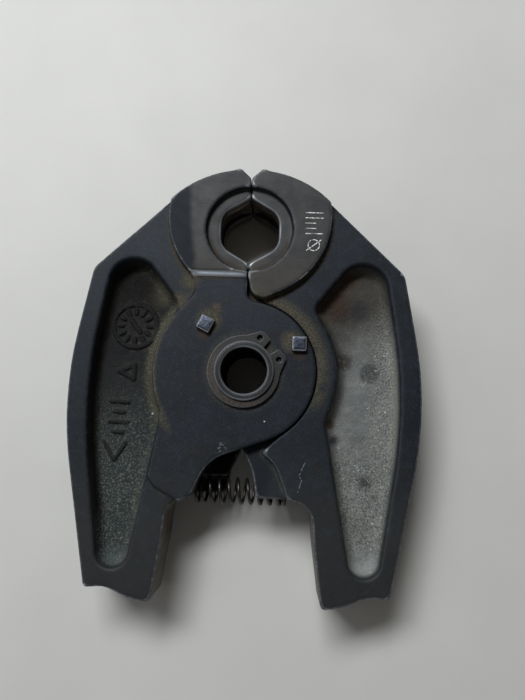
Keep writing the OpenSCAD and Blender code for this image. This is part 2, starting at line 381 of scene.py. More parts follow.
def lever():
    """Points, quads, normals and masks of the right-hand lever."""
    tri = cad_triangles("right_jaw")
    grid = Grid(*cad_box("right_jaw"))
    levels = flat_levels(tri)
    layers, pockets = [], {}
    for low, high in zip(levels, levels[1:]):
        if high - low < THIN_SLAB:
            continue
        slices = BEVEL_SLICES if max(low, -high) > CHEEK_FACE - 0.1 else 1
        cuts = np.linspace(low, high, slices + 1)
        for start, end in zip(cuts, cuts[1:]):
            found = loops(section(tri, (start + end) / 2))
            bore = [k for k in found[1:] if np.hypot(*k.mean(0)) < 1]
            layers.append((start, end, grid.outline(found[0], *bore)))
        if low <= ARM_FACE - 1 <= high:
            pockets[1] = grid.outline(found[1])
        if low <= 1 - ARM_FACE <= high:
            pockets[-1] = grid.outline(found[1])
    crisp = grid.stack(layers)
    field = blur(crisp, EDGE_ROUND)
    radius = np.hypot(grid.x[None, :], grid.y[:, None])
    room = np.clip((ROOM_RADIUS - radius) / ROOM_FADE, 0, 1) * (grid.x[None, :] > 0)
    room = room * (np.abs(grid.z) < CHEEK_FACE - 0.5)[:, None, None]
    field += (crisp - field) * room
    depth, size, seed = SKIN_LUMPS
    field += depth * np.abs(lumps(grid, size, seed)) * (np.abs(grid.z) < DIE_SKIN)[:, None, None]
    cast = sum(depth * lumps(grid, size, seed) for depth, size, seed in CAST_LUMPS)
    marks = casting_marks(grid)
    fillet = np.interp(grid.x, FILLET_SPAN, (POCKET_FILLET, OUTER_FILLET)).astype(np.float32)
    for side, outline in pockets.items():
        height = (grid.z * side)[:, None, None]
        wall = outline[None] + np.maximum(ARM_FACE - height, 0) * POCKET_DRAFT
        floor = POCKET_FLOOR - height + cast
        if side < 0:
            mark = smooth_max(marks, -floor - MARK_HEIGHT, MARK_EDGE)
            floor = smooth_max(floor, -mark, MARK_FOOT)
        pocket = smooth_max(wall + WALL_SHARE * cast, floor, fillet)
        pocket = np.where(height > 0, pocket, BAND)
        field = smooth_max(field, -pocket, POCKET_RIM)
    points, quads = skin(grid, field, np.array(levels))
    slope = np.stack([at_points(grid, g, points) for g in
                      np.gradient(field, RISE, STEP, STEP)[::-1]], 1)
    normals = slope / np.linalg.norm(slope, axis=1, keepdims=True)
    front = points[:, 2] > 0
    wall = np.where(front, at_points(grid, pockets[1][None].repeat(len(grid.z), 0), points),
                    at_points(grid, pockets[-1][None].repeat(len(grid.z), 0), points))
    marked = np.where(front, 1, at_points(grid, marks[None].repeat(len(grid.z), 0), points))
    masks = {"worn": at_points(grid, blur(field, WEAR_AND_HIGHLIGHT_REACH), points),
             "mark": np.clip(marked, -1, 1),
             "pocket": np.clip(-wall, 0, BAND) * (np.abs(points[:, 2]) < ARM_FACE - 0.2)}
    return points, quads, normals, masks


def forging(name, body, node, shape, turn):
    """One lever from the shared shape; turn holds the signs of X, Y and Z."""
    points, quads, normals, masks = shape
    piece = mesh_object(name, points * turn, quads, normals * turn)
    for mask, values in masks.items():
        layer = piece.data.attributes.new(mask, "FLOAT", "POINT")
        layer.data.foreach_set("value", values.astype(np.float32))
    return placed(piece, body, node)


# ---------- round parts, pegs and spring ----------

CHAMFER = 0.5        # on the tube's ends
TUBE_EDGE = 0.1      # rounding of the tube's edges
GROOVE = 0.5         # depth of the tube's ring grooves
RING_PLAY = 0.05     # room for a ring in its groove, on each side
RING_EDGE = 0.16     # rounding of the stamped rings
PEG_ROUND = 0.45     # of a peg's upright edges
# A peg's head: how far below its top, and the share of its full width there
PEG_HEAD = [(1.4, 1), (0.7, 0.99), (0.45, 0.96), (0.2, 0.88), (0.08, 0.8), (0.03, 0.7), (0.02, 0.5),
            (0, 0.3), (0, 0.0)]
WIRE = 1.0           # the spring's wire diameter
WIRE_SIDES = 16
SPRING_TURNS = 8.75  # between the two closed turns
TURN_STEPS = 36      # points along each turn
END_PITCH = 1.05     # of a closed turn, in wire diameters
EASE = 9             # points on each side over which a change of pitch is smoothed


def tube_quads(rows, sides, closed=False):
    """The quads between rows of points, each row a ring; closed joins the last row to the first."""
    pairs = [(i, (i + 1) % rows) for i in range(rows if closed else rows - 1)]
    return [(a * sides + j, a * sides + (j + 1) % sides, b * sides + (j + 1) % sides, b * sides + j)
            for a, b in pairs for j in range(sides)]


def lathe(name, profile, sides=160):
    """A closed profile of (radius, height) points turned round the Z axis."""
    angle = np.linspace(0, 2 * math.pi, sides, endpoint=False)
    rows = [np.stack([r * np.cos(angle), r * np.sin(angle), np.full(sides, h)], 1) for r, h in profile]
    return mesh_object(name, np.concatenate(rows), tube_quads(len(rows), sides, closed=True))


def corners_of(outline):
    """The outline without the points that lie on its straight sides."""
    a, b = outline - np.roll(outline, 1, 0), np.roll(outline, -1, 0) - outline
    turn = np.abs(a[:, 0] * b[:, 1] - a[:, 1] * b[:, 0])
    return outline[turn > 0.05 * np.linalg.norm(a, axis=1) * np.linalg.norm(b, axis=1)]


def softened(corners, radius, steps=4):
    """A closed outline with each corner rounded by an arc."""
    out = []
    points = [np.array(c, float) for c in corners]
    for before, here, after in zip(points[-1:] + points, points, points[1:] + points[:1]):
        a, b = before - here, after - here
        a, b = a / np.linalg.norm(a), b / np.linalg.norm(b)
        half = math.acos(np.clip(a @ b, -1, 1)) / 2
        centre = here + (a + b) / np.linalg.norm(a + b) * radius / math.sin(half)
        start, end = here + a * radius / math.tan(half), here + b * radius / math.tan(half)
        for t in np.linspace(0, 1, steps):
            d = (start - centre) * (1 - t) + (end - centre) * t
            out.append(centre + d / np.linalg.norm(d) * radius)
    return np.array(out)


def bush():
    """The hollow pivot, with a groove for each retaining ring."""
    low, high = cad_box("pivot_tube")
    ring_low, ring_high = cad_box("front_retaining_ring")
    mount = next(m for m in frame["record"]["mounts"] if m["name"] == "pivot_bore")
    outer, top, bore = round(high[0], 2), high[2], mount["dims"]["r_mm"]
    z0, z1 = ring_low[2] - RING_PLAY, ring_high[2] + RING_PLAY
    front = [(bore, top - CHAMFER), (bore + CHAMFER, top), (outer - CHAMFER, top), (outer, top - CHAMFER),
             (outer, z1), (outer - GROOVE, z1), (outer - GROOVE, z0), (outer, z0)]
    profile = front + [(r, -z) for r, z in reversed(front)]
    piece = lathe("pivot_bush", softened(profile[::-1], TUBE_EDGE))
    return placed(piece, "pivot", "pivot_tube")


def retaining_ring(name, node):
    """A ring stamped from sheet, with its edges rounded over."""
    low, high = cad_box(node)
    curve = bpy.data.curves.new(name, "CURVE")
    curve.dimensions = "2D"
    curve.fill_mode = "BOTH"
    curve.extrude = ((high[2] - low[2]) / 2 - RING_EDGE) * MM
    curve.bevel_depth, curve.offset, curve.bevel_resolution = RING_EDGE * MM, -RING_EDGE * MM, 3
    for outline in loops(section(cad_triangles(node), (low[2] + high[2]) / 2)):
        spline = curve.splines.new("POLY")
        spline.points.add(len(outline) - 1)
        for point, (x, y) in zip(spline.points, outline):
            point.co = (x * MM, y * MM, 0, 1)
        spline.use_cyclic_u = True
    flat = bpy.data.objects.new(name, curve)
    mesh = bpy.data.meshes.new_from_object(flat)
    bpy.data.objects.remove(flat)
    mesh.transform(Matrix.Translation((0, 0, (low[2] + high[2]) / 2 * MM)))
    mesh.shade_smooth()
    mesh.set_sharp_from_angle(angle=math.radians(40))
    piece = bpy.data.objects.new(name, mesh)
    bpy.context.scene.collection.objects.link(piece)
    return placed(piece, "pivot", node)


def peg(name, body, node):
    """A small square peg with a worn, slightly domed head, facing away from the jaw's middle."""
    low, high = cad_box(node)
    side = 1 if high[2] > 0 else -1
    foot, top = sorted((low[2] * side, high[2] * side))
    square = corners_of(loops(section(cad_triangles(node), (low[2] + high[2]) / 2))[0])
    middle = square.mean(0)
    ring = softened(square, PEG_ROUND, 5) - middle
    rows = [(foot, 0.0), (foot, 0.3), (foot, 1)] + [(top - drop, share) for drop, share in PEG_HEAD]
    points = [np.column_stack([ring * share + middle, np.full(len(ring), z * side)]) for z, share in rows]
    faces = [quad[::side] for quad in tube_quads(len(rows), len(ring))]
    return placed(mesh_object(name, np.concatenate(points), faces), body, node)


def spring():
    """The return spring: one wire, with a closed turn at each end."""
    low, high = cad_box("return_spring")
    middle, size = (low + high) / 2, high - low
    radius, run = (size[1] - WIRE) / 2, size[0] - WIRE
    end_run = WIRE * END_PITCH
    open_pitch = (run - 2 * end_run) / SPRING_TURNS
    turns = SPRING_TURNS + 2
    n = np.linspace(0, turns, int(turns * TURN_STEPS) + 1)
    x = end_run * np.minimum(n, 1) + end_run * np.clip(n - 1 - SPRING_TURNS, 0, 1)
    x += open_pitch * np.clip(n - 1, 0, SPRING_TURNS)
    window = 2 * EASE + 1
    x = np.pad(x, EASE, "reflect", reflect_type="odd")
    x = np.convolve(x, np.ones(window) / window, "valid") - run / 2
    out = np.stack([0 * n, np.cos(2 * math.pi * n), np.sin(2 * math.pi * n)], 1)
    line = middle + out * radius + np.outer(x, (1, 0, 0))
    along = np.gradient(line, axis=0)
    along /= np.linalg.norm(along, axis=1, keepdims=True)
    across = np.cross(along, out)
    ends = [(0, 0.0), (0, 0.75), (0, 1.0)]
    rows = ends + [(i, 1.0) for i in range(1, len(n) - 1)] + [(len(n) - 1, s) for _, s in reversed(ends)]
    turn = np.linspace(0, 2 * math.pi, WIRE_SIDES, endpoint=False)
    points = [line[i] + WIRE / 2 * s * (np.outer(np.cos(turn), out[i]) + np.outer(np.sin(turn), across[i]))
              for i, s in rows]
    piece = mesh_object("coil_spring", np.concatenate(points), tube_quads(len(rows), WIRE_SIDES))
    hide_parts("return_spring")
    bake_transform(piece)
    return piece


# ---------- materials ----------

def srgb(r, g, b):
    """A colour given as it looks on screen, 0 to 255, in linear light."""
    shares = (r / 255, g / 255, b / 255)
    return tuple(((c + 0.055) / 1.055) ** 2.4 if c > 0.04 else c / 12.92 for c in shares) + (1,)


class Shader:
    """A material written as formulas: each call adds a node and returns its output."""

    def __init__(self, name):
        self.mat = bpy.data.materials.new(name)
        self.mat.use_nodes = True
        self.tree = self.mat.node_tree
        self.bsdf = self.tree.nodes["Principled BSDF"]
        coords = self.tree.nodes.new("ShaderNodeTexCoord")
        self.at = self.vector("SCALE", coords.outputs["Object"], scale=1 / MM)
        parts = self.node("ShaderNodeSeparateXYZ", Vector=self.at)
        self.x, self.y, self.z = parts.outputs
        self.across = self.vector("MULTIPLY", self.at, (1, 1, 0))
        self.radius = self.vector("LENGTH", self.across)
        flat = self.node("ShaderNodeSeparateXYZ", Vector=coords.outputs["Normal"])
        self.tilt = self.math("ABSOLUTE", flat.outputs[2])

    def put(self, socket, value):
        if isinstance(value, bpy.types.NodeSocket):
            self.tree.links.new(value, socket)
        else:
            socket.default_value = value

    def node(self, kind, **inputs):
        made = self.tree.nodes.new(kind)
        for name, value in inputs.items():
            self.put(made.inputs[name], value)
        return made

    def math(self, operation, *values):
        made = self.tree.nodes.new("ShaderNodeMath")
        made.operation = operation
        for socket, value in zip(made.inputs, values):
            self.put(socket, value)
        return made.outputs[0]

    def vector(self, operation, *values, scale=None):
        made = self.tree.nodes.new("ShaderNodeVectorMath")
        made.operation = operation
        for socket, value in zip(made.inputs, values):
            self.put(socket, value)
        if scale is not None:
            self.put(made.inputs["Scale"], scale)
        plain = operation in ("LENGTH", "DISTANCE", "DOT_PRODUCT")
        return made.outputs["Value" if plain else "Vector"]

    def times(self, *values):
        total = values[0]
        for value in values[1:]:
            total = self.math("MULTIPLY", total, value)
        return total

    def ramp(self, value, low, high, to_low=0.0, to_high=1.0):
        """Runs smoothly from to_low at low to to_high at high."""
        made = self.node("ShaderNodeMapRange", Value=value)
        made.interpolation_type = "SMOOTHSTEP"
        for socket, number in zip(list(made.inputs)[1:5], (low, high, to_low, to_high)):
            self.put(socket, number)
        return made.outputs[0]

    def noise(self, size, detail=3.0, rough=0.55, stretch=(1, 1, 1), shift=0.0):
        """Noise from 0 to 1 whose lumps are about size millimetres across."""
        where = self.vector("MULTIPLY", self.at, stretch)
        where = self.vector("ADD", where, (shift, shift, shift))
        made = self.node("ShaderNodeTexNoise", Vector=where, Scale=1 / size, Detail=detail, Roughness=rough)
        return made.outputs[0]

    def mix(self, share, a, b):
        made = self.tree.nodes.new("ShaderNodeMix")
        made.data_type = "RGBA"
        self.put(made.inputs[0], share)
        self.put(made.inputs[6], a)
        self.put(made.inputs[7], b)
        return made.outputs[2]

    def blend(self, share, a, b):
        """A number that goes from a to b with share."""
        made = self.tree.nodes.new("ShaderNodeMix")
        self.put(made.inputs[0], share)
        self.put(made.inputs[2], a)
        self.put(made.inputs[3], b)
        return made.outputs[0]

    def attribute(self, name):
        made = self.node("ShaderNodeAttribute")
        made.attribute_name = name
        return made.outputs["Fac"]

    def near(self, x, y, inner, outer):
        """1 within inner of a point in X and Y, 0 beyond outer."""
        return self.ramp(self.vector("DISTANCE", self.across, (x, y, 0)), inner, outer, 1, 0)

    def stroke(self, x1, y1, x2, y2, half):
        """1 on a straight stroke in X and Y."""
        run = Vector((x2 - x1, y2 - y1, 0))
        start = self.vector("SUBTRACT", self.across, (x1, y1, 0))
        share = self.math("DIVIDE", self.vector("DOT_PRODUCT", start, run), run.length_squared)
        share = self.math("MINIMUM", self.math("MAXIMUM", share, 0.0), 1.0)
        nearest = self.vector("SCALE", run, scale=share)
        return self.ramp(self.vector("DISTANCE", start, nearest), half * 0.7, half * 1.3, 1, 0)

    def ring(self, x, y, radius, half):
        """1 on a circle in X and Y."""
        off = self.math("SUBTRACT", self.vector("DISTANCE", self.across, (x, y, 0)), radius)
        return self.ramp(self.math("ABSOLUTE", off), half * 0.7, half * 1.3, 1, 0)

    def most(self, *values):
        total = values[0]
        for value in values[1:]:
            total = self.math("MAXIMUM", total, value)
        return total

    def finish(self, colour, roughness, metallic, height, depth=0.1, sheen=0.5):
        """Sets the surface; height is a relief whose full range is depth millimetres."""
        self.put(self.bsdf.inputs["Base Color"], colour)
        self.put(self.bsdf.inputs["Roughness"], roughness)
        self.put(self.bsdf.inputs["Metallic"], metallic)
        self.put(self.bsdf.inputs["Specular IOR Level"], sheen)
        bump = self.node("ShaderNodeBump", Height=height, Distance=depth * MM)
        self.put(self.bsdf.inputs["Normal"], bump.outputs[0])
        return self.mat


# In the materials below every place and distance is in millimetres, in the jaw's own X, Y and Z.
MOUTH = (0, 44.6)  # the press mouth's centre
DUST = srgb(102, 98, 81)
BRIGHT = srgb(190, 196, 204)
RUST = srgb(58, 44, 37)
BROWN = srgb(44, 37, 30)


def left_details(s, front, pocket, grain):
    """The left lever's front: its pocket colour with painted shade and light, and masks of dirt, scrapes
    and the painted dark reflection on the outer die.
    """
    # Painted shade and light: the floor is darker towards its top, and its grain lighter towards its bottom
    # and hub side.
    low = s.ramp(s.y, 10, -40)
    hub_side = s.ramp(s.radius, 33.0, 29.0)
    lit_grain = s.most(s.times(low, 0.8), s.times(hub_side, s.ramp(s.y, 38, 20), 0.9))
    floor = s.mix(low, srgb(28, 29, 31), srgb(46, 52, 55))
    floor = s.mix(s.times(grain, lit_grain), floor, srgb(120, 125, 116))
    film = s.most(s.times(hub_side, s.ramp(s.y, 36, 14)), s.near(-27.5, 25.5, 1.5, 7.5))
    floor = s.mix(s.times(film, s.blend(grain, 0.3, 0.7)), floor, DUST)
    shade = s.times(s.ramp(pocket, 3, 0.8), s.ramp(s.x, -38, -42), s.ramp(s.y, -52, -40))
    shade = s.most(shade, s.times(s.ramp(s.y, 12, 28), s.ramp(s.x, -26, -32)))
    floor = s.mix(s.times(shade, 0.9), floor, srgb(14, 12, 11))
    # Painted highlight on the fillet at the pocket's lower end.
    floor = s.mix(s.ramp(s.y, -50, -58, 0, 0.3), floor, srgb(96, 108, 114))
    mark = s.ramp(s.attribute("mark"), 0.35, -0.1)
    floor = s.mix(s.times(mark, 0.75), floor, srgb(26, 26, 28))
    # Painted dark reflection over the left die's outer part, with a wavy edge.
    line = s.math("ADD", s.math("ADD", s.x, s.times(s.y, 0.1057)), s.times(s.noise(12, 2, shift=33), 3))
    outer = s.ramp(line, -10.4, -13.0)
    pegs = s.most(s.near(-11.4, 15.2, 2.2, 5.0), s.near(-9.4, 19, 0.3, 2.8), s.near(14.0, 9.4, 1.6, 4.4),
                  s.times(s.near(0, 0, 10.0, 13.5), 0.5))
    corner = s.most(s.near(-18, 28, 0.5, 4.5), s.near(-21, 21.5, 0.5, 4.0))
    rim = s.times(s.ramp(s.radius, 26.2, 27.6), s.ramp(s.radius, 30.5, 28.4), s.ramp(s.x, -20, -24))
    dirt = s.times(s.most(pegs, corner, s.times(rim, 0.7)), front)
    scrape = s.most(s.near(-28.2, -13.5, 0.15, 0.45), s.near(6.6, -14.8, 0.12, 0.35),
                    s.times(s.near(-5.6, -23, 0.2, 2.0), s.ramp(s.noise(0.8, 2, shift=50), 0.5, 0.65), 0.5),
                    s.near(-57.6, -14, 0.1, 0.6), s.near(-43.8, -63.6, 0.2, 0.7))
    return floor, dirt, s.times(scrape, front), outer


def right_details(s, front, pocket, grain):
    """The right lever's front: its pocket colour with painted light and shade, glints, and masks of dirt
    and scrapes; it has no outer die mask.
    """
    patch, glint = s.noise(7, 3, shift=60), s.ramp(s.noise(0.9, 3, shift=90), 0.66, 0.71)
    glint = s.times(glint, s.ramp(s.x, 34, 42, 0.15, 1.0), s.ramp(s.y, 22, 14))
    coarse = s.most(s.ramp(s.x, 34, 43), s.ramp(s.y, -12, -32))
    floor = s.mix(s.ramp(patch, 0.3, 0.7), srgb(110, 113, 115), srgb(130, 133, 133))
    floor = s.mix(s.times(grain, s.blend(coarse, 0.25, 0.9)), floor, srgb(166, 167, 157))
    pits = s.ramp(s.noise(0.5, 2, shift=66), 0.5, 0.62)
    floor = s.mix(s.times(pits, s.blend(coarse, 0.2, 0.85)), floor, srgb(76, 78, 74))
    # Painted light on the pocket's outer wall.
    floor = s.mix(s.ramp(s.x, 44, 48, 0, 0.7), floor, srgb(142, 143, 134))
    # Painted highlight on the fillet at the pocket's lower end.
    floor = s.mix(s.ramp(s.y, -48, -56, 0, 0.7), floor, srgb(146, 150, 150))
    # Painted shadow of the pocket's upper left wall.
    upper = s.ramp(s.math("ADD", s.times(s.x, -0.7), s.y), -25, -2)
    floor = s.mix(s.times(upper, 0.85), floor, srgb(52, 47, 41))
    # Painted shade along the pocket's hub side.
    floor = s.mix(s.times(s.ramp(s.radius, 34, 28), s.ramp(s.y, -24, -10), 0.6), floor, srgb(66, 66, 64))
    stains = s.most(s.times(s.near(38.6, 1.2, 2.3, 3.9), 0.75), s.times(s.near(34.9, 20.8, 1.6, 5.0), 0.8),
                    s.times(s.near(29.8, 19.6, 1.0, 4.5), 0.8), s.near(27.8, -19.8, 0.5, 2.6),
                    s.times(s.near(37.4, -32.0, 0.8, 3.2), 0.8))
    floor = s.mix(s.times(stains, s.blend(grain, 0.9, 0.6)), floor, srgb(42, 44, 50))
    film = s.times(s.near(30.2, 4.5, 1.0, 4.6), s.ramp(s.noise(1.6, 3, shift=97), 0.38, 0.5))
    floor = s.mix(s.times(film, 0.85), floor, srgb(52, 46, 40))
    # Painted shadow in brown, mostly along the pocket's upper left wall.
    wall = s.most(s.near(27, 23, 2.5, 8.5), s.near(26.4, -14.9, 0.5, 2.5), s.near(30, 31, 1, 8))
    floor = s.mix(s.times(wall, 0.85), floor, srgb(60, 46, 36))
    floor = s.mix(s.times(glint, 0.9), floor, srgb(215, 216, 206))
    around = s.times(s.ramp(s.radius, 21.9, 22.4), s.ramp(s.radius, 27.0, 23.4))
    around = s.times(around, s.ramp(s.y, -14, -4), s.ramp(s.noise(5, 2, shift=70), 0.25, 0.5))
    foot = s.near(5, 23.5, 1.0, 5.5)
    dirt = s.times(s.most(around, s.times(foot, s.ramp(s.z, 9.2, 8.8))), front)
    marks = [(33.6, -26.2, 35.4, -27.6), (33.8, -28.9, 35.6, -28.4), (33.9, -31.0, 36.0, -32.6),
             (34.2, -34.4, 35.8, -35.2), (36.4, -27.6, 38.2, -28.8), (37.2, -30.2, 38.6, -31.8),
             (36.8, -33.6, 38.4, -33.0), (36.2, -36.4, 37.9, -35.6)]
    broken = s.ramp(s.noise(0.7, 2, shift=80), 0.42, 0.55)
    scrape = s.times(s.most(*(s.stroke(*m, 0.16) for m in marks)), broken)
    leg = [(19.2, -26.2, 17.4, -30.4), (17.4, -30.4, 18.2, -31.6), (18.2, -31.6, 17.2, -35.0)]
    scrape = s.most(scrape, s.times(s.most(*(s.stroke(*m, 0.12) for m in leg)), broken, 0.4),
                    s.near(47.8, 32.0, 0.3, 0.9))
    return floor, dirt, s.times(scrape, front), None


def die_stamp(s):
    """A size stamp of a diameter sign and plain bars, punched into the right die."""
    bars = [(17.4, 43.3 + 1.7 * n, 22.7 - short, 43.3 + 1.7 * n)
            for n, short in enumerate((0, 2.2, 2.2, 0, 0))]
    bars.append((17.8, 37.9, 22.2, 41.3))
    stamp = s.most(s.ring(20.0, 39.6, 1.75, 0.14), *(s.stroke(*bar, 0.15) for bar in bars))
    broken = s.ramp(s.noise(0.6, 2, shift=85), 0.36, 0.5, 0.25, 1.0)
    return s.times(stamp, broken, s.ramp(s.z, 10.0, 10.5))


def forged_steel(side):
    """Blackened forging with ground dies."""
    s = Shader("forged_steel_" + side)
    worn, pocket = s.attribute("worn"), s.attribute("pocket")
    height = s.math("ABSOLUTE", s.z)
    front = s.ramp(s.z, 0, 1)
    flat = s.ramp(s.tilt, 0.9, 0.98)
    broad, mottle, fine = s.noise(14, 2), s.noise(2.5, 4, shift=5), s.noise(0.6, 3)
    speck, grain = s.noise(0.4, 2, shift=40), s.ramp(s.noise(0.55, 3, 0.7, shift=3), 0.46, 0.66)
    sunk = s.ramp(pocket, 0.1, 0.9)
    details = left_details if side == "left" else right_details
    floor, dirt, scrape, outer = details(s, front, pocket, grain)
    # Blackened skin, with a painted sheen that makes it lighter towards the leg ends
    tint = s.noise(5, 4, shift=11)
    colour = s.mix(s.ramp(broad, 0.3, 0.7), srgb(27, 32, 39), srgb(34, 39, 47))
    colour = s.mix(s.ramp(mottle, 0.45, 0.8, 0, 0.5), colour, srgb(48, 55, 64))
    colour = s.mix(s.ramp(tint, 0.5, 0.75, 0, 0.6), colour, srgb(38, 35, 33))
    colour = s.mix(s.ramp(speck, 0.54, 0.7, 0, 0.22), colour, srgb(80, 84, 88))
    colour = s.mix(s.ramp(speck, 0.46, 0.3, 0, 0.3), colour, srgb(12, 13, 15))
    # Painted sheen: the skin is lighter towards the leg ends.
    colour = s.mix(s.ramp(s.y, -15, -50, 0, 0.4), colour, srgb(64, 65, 64))
    roughness = s.blend(mottle, 0.50, 0.64)
    metallic = 0.3
    # Painted shade round the spring, deep under the cheeks, and brown film on the upright walls of the legs
    spring_shade = s.times(s.near(0, -31, 7, 11), s.ramp(height, 8.2, 7.6))
    black = s.mix(s.ramp(s.x, -3, 1), srgb(9, 8, 8), srgb(30, 34, 40))
    colour = s.mix(s.times(spring_shade, 0.9), colour, black)
    inner = s.ramp(s.math("ABSOLUTE", s.x), 32, 27)
    wall = s.times(s.ramp(s.tilt, 0.5, 0.2), s.ramp(s.y, -32, -42), inner)
    colour = s.mix(s.times(wall, s.ramp(tint, 0.3, 0.65, 0.35, 0.8)), colour, srgb(118, 110, 98))
    # Ground faces of the dies and their recess
    recess = s.times(s.ramp(height, 8.7, 8.9), s.ramp(height, 9.35, 9.15), s.ramp(s.y, 28, 30))
    die = s.times(s.most(s.ramp(height, 9.8, 10.6), recess), flat)
    scratch = s.noise(0.22, 2, stretch=(0.05, 1, 1), shift=7)
    ground = s.mix(s.ramp(s.noise(6, 3, shift=9), 0.3, 0.7), srgb(52, 53, 55), srgb(64, 64, 65))
    ground = s.mix(s.ramp(s.y, 42, 26, 0, 0.6), ground, srgb(62, 59, 55))
    ground = s.mix(s.ramp(scratch, 0.5, 0.8, 0, 0.3), ground, srgb(84, 84, 84))
    # Painted dark reflection over the left die's outer part.
    if outer is not None:
        ground = s.mix(s.times(outer, front), ground, srgb(22, 26, 32))
    colour = s.mix(die, colour, ground)
    metallic = s.blend(die, metallic, 0.5)
    # The mouth's pressing walls: bare steel, browned
    mouth = s.times(s.near(*MOUTH, 12.4, 12.9), s.ramp(s.tilt, 0.5, 0.3))
    bare = s.mix(s.ramp(mottle, 0.35, 0.65), srgb(106, 99, 90), srgb(128, 123, 116))
    colour = s.mix(mouth, colour, bare)
    metallic = s.blend(mouth, metallic, 0.6)
    roughness = s.blend(mouth, roughness, 0.3)
    if side == "right":
        stamp = die_stamp(s)
        colour = s.mix(s.times(stamp, s.ramp(speck, 0.3, 0.5)), colour, srgb(225, 226, 226))
    else:
        stamp = 0.0
    # Cast floor of the pockets
    rear = s.mix(grain, srgb(52, 54, 56), srgb(104, 105, 98))
    colour = s.mix(sunk, colour, s.mix(front, rear, floor))
    metallic = s.blend(sunk, metallic, 0.1)
    roughness = s.blend(sunk, roughness, 0.75)
    # Bright worn edges that are partly painted highlight, the bevel's painted reflection, scrapes, and dirt
    # in the corners
    patchy = s.ramp(s.noise(1.3, 4, 0.7, shift=21), 0.45, 0.7)
    clear = s.most(s.ramp(s.radius, 20.6, 19.6), s.ramp(s.radius, 23.4, 24.6), s.ramp(s.x, 0, -4))
    # Worn edges: bare metal, and also painted highlight.
    edge = s.times(s.ramp(worn, 0.24, 0.34), s.blend(patchy, 0.10, 0.38), clear)
    lip = s.times(s.near(*MOUTH, 12.0, 12.6), s.ramp(worn, 0.24, 0.34), 0.5)
    # Painted reflection on the die step's bevel, which faces the lower side.
    bevel = s.times(s.ramp(s.y, 31.2, 30.8), s.ramp(s.y, 28.4, 29), s.ramp(s.tilt, 0.95, 0.85))
    bevel = s.times(bevel, s.ramp(s.tilt, 0.3, 0.5), s.ramp(height, 9.45, 9.7))
    edge = s.most(edge, lip)
    bright = s.most(edge, s.times(scrape, 0.9))
    corner = s.times(s.ramp(worn, -0.05, -0.2), s.blend(patchy, 0.2, 0.8))
    corner = s.times(corner, s.blend(s.near(*MOUTH, 15, 17), 1.0, 0.25))
    corner = s.times(corner, s.blend(s.times(sunk, s.ramp(s.math("ABSOLUTE", s.x), 34, 40)), 1.0, 0.3))
    dust = s.times(s.most(corner, dirt), s.ramp(speck, 0.42, 0.6, 0.3, 1.0))
    rust = s.most(s.near(16.4, 5.4, 1.2, 2.6), s.near(-13.0, 10.8, 1.0, 2.4))
    colour = s.mix(s.times(rust, front, s.ramp(height, 8.8, 9.2), 0.45), colour, RUST)
    # Brown along the die's foot: dirt, with painted shadow in its crease.
    die_foot_dirt_and_shadow = s.times(s.ramp(worn, -0.03, -0.15), s.near(*MOUTH, 26.5, 29), s.ramp(s.y, 44, 38))
    colour = s.mix(s.times(s.most(s.times(dirt, 0.45), s.times(die_foot_dirt_and_shadow, 0.7)), front), colour, BROWN)
    colour = s.mix(bright, colour, BRIGHT)
    # Painted reflection on the bevel.
    colour = s.mix(s.times(bevel, front), colour, BRIGHT)
    colour = s.mix(s.times(dust, 0.7), colour, DUST)
    roughness = s.blend(dust, s.blend(s.most(bright, bevel), roughness, 0.3), 0.95)
    metallic = s.blend(dust, s.blend(bright, metallic, 0.9), 0.0)
    metallic = s.blend(bevel, metallic, 0.8)
    relief = s.math("ADD", s.times(fine, s.blend(sunk, 0.2, 0.4)), s.times(grain, sunk, 0.8))
    relief = s.math("SUBTRACT", relief, s.times(s.most(stamp, scrape), 0.9))
    return s.finish(colour, roughness, metallic, s.math("ADD", relief, s.times(dust, 0.5)), 0.12, 0.22)


def turned_steel():
    """The hollow pivot: a turned outside, bright chamfers that are partly a painted highlight, and a bore
    painted near black as shade.
    """
    s = Shader("turned_steel")
    lines = s.math("SINE", s.times(s.radius, 40))
    fine, speck = s.noise(0.6, 4), s.noise(0.3, 2, shift=12)
    colour = s.mix(fine, srgb(38, 39, 42), srgb(58, 58, 61))
    # Bare chamfers, lightened also as a painted highlight.
    chamfer = s.times(s.ramp(s.tilt, 0.3, 0.5), s.ramp(s.tilt, 0.97, 0.85))
    colour = s.mix(s.times(chamfer, 0.35), colour, BRIGHT)
    # Painted shade: the bore is near black inside, where light hardly reaches.
    bore = s.times(s.ramp(s.radius, 7.3, 7.15), s.ramp(s.math("ABSOLUTE", s.z), 11.6, 11.2))
    colour = s.mix(bore, colour, s.mix(speck, srgb(10, 10, 10), srgb(26, 23, 20)))
    metallic = s.blend(bore, 0.6, 0.0)
    roughness = s.blend(bore, s.blend(fine, 0.3, 0.5), 0.9)
    return s.finish(colour, roughness, metallic, s.math("ADD", s.times(lines, 0.2), fine), 0.02)


def ring_steel():
    """The retaining rings: dark sheet steel, browned along the lower left."""
    s = Shader("ring_steel")
    fine, speck = s.noise(0.6, 4), s.noise(0.35, 2, shift=15)
    colour = s.mix(fine, srgb(34, 34, 36), srgb(56, 55, 56))
    brown = s.times(s.ramp(s.math("ADD", s.x, s.y), 2, -8), s.ramp(speck, 0.35, 0.65))
    colour = s.mix(s.times(brown, 0.7), colour, srgb(70, 58, 44))
    edge = s.times(s.ramp(s.tilt, 0.15, 0.4), s.ramp(s.tilt, 0.97, 0.85))
    colour = s.mix(s.times(edge, 0.4), colour, BRIGHT)
    return s.finish(colour, s.blend(fine, 0.35, 0.6), s.blend(brown, 0.5, 0.1), fine, 0.03)


def spring_steel():
    """Drawn wire, bright along its crown and dull in between."""
    s = Shader("spring_steel")
    fine = s.noise(0.4, 4)
    colour = s.mix(fine, srgb(44, 42, 42), srgb(88, 85, 82))
    return s.finish(colour, s.blend(fine, 0.28, 0.42), 0.9, fine, 0.02)


